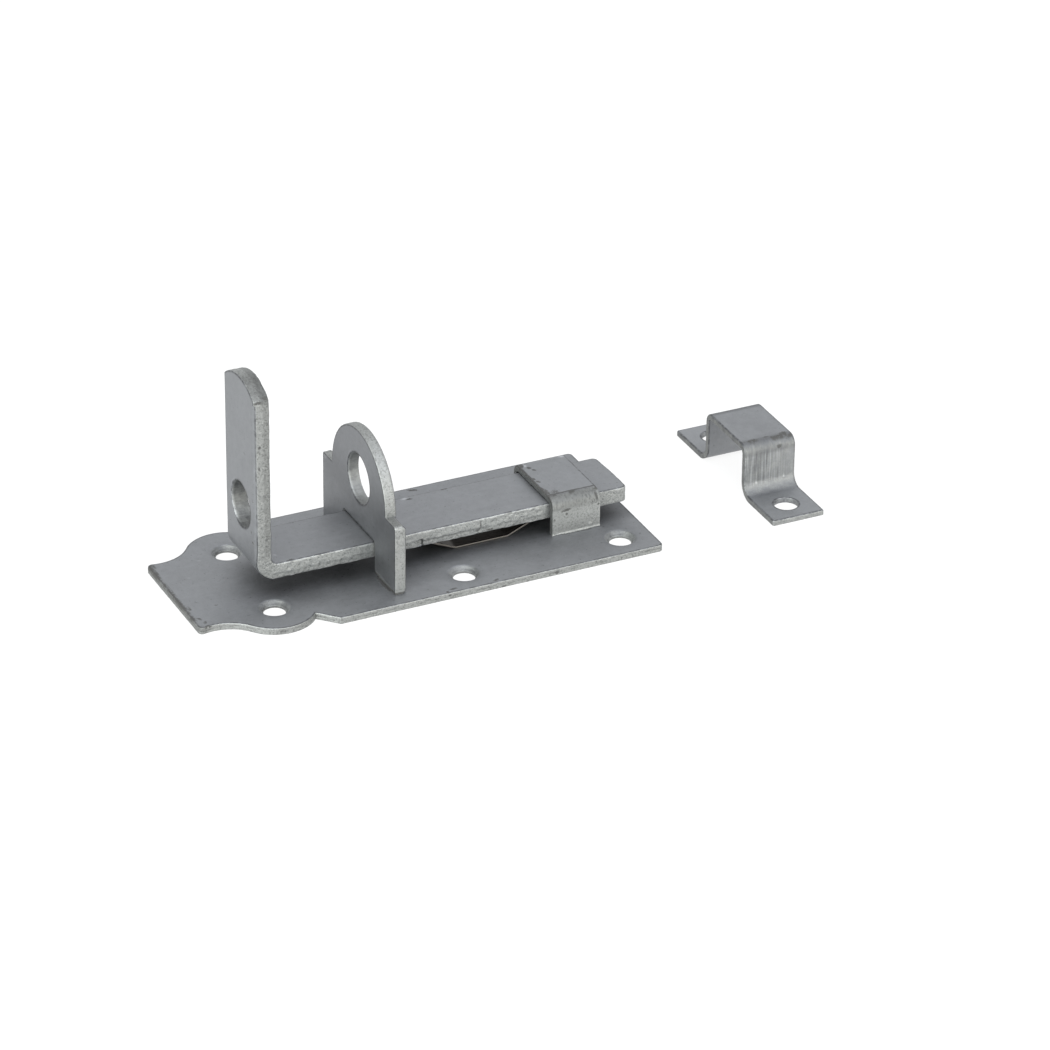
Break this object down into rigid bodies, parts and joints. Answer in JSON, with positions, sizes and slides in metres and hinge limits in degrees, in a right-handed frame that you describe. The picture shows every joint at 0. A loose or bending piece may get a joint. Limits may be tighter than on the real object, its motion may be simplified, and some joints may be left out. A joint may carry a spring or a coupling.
{
  "type": "padbolt",
  "caption": "Flat sliding door bolt with a turned-up padlock arm, on a back plate with a padlock staple and a guide clip, and its separate keep.",
  "frame": {"origin": "middle of the back plate's length and width, on its underside, which lies on the door", "axes": "+X the way the bolt is thrown, +Y across the plate, +Z away from the door"},
  "size_m": [0.1374, 0.0444, 0.0485],
  "materials": {
    "zinc_plated_steel": "zinc plated, satin, lightly handled",
    "spring_steel": "tempered strip, brownish"
  },
  "bodies": {
    "base": {"back_plate": "zinc_plated_steel", "padlock_staple": "zinc_plated_steel", "guide_clip": "zinc_plated_steel", "leaf_spring": "spring_steel", "keep": "zinc_plated_steel"},
    "sliding_bolt": {"bolt": "zinc_plated_steel"}
  },
  "joints": [
    {"name": "bolt_slide", "type": "slide", "parent": "base", "child": "sliding_bolt", "axis": [1, 0, 0], "range_m": [-0.005, 0.0215]}
  ]
}
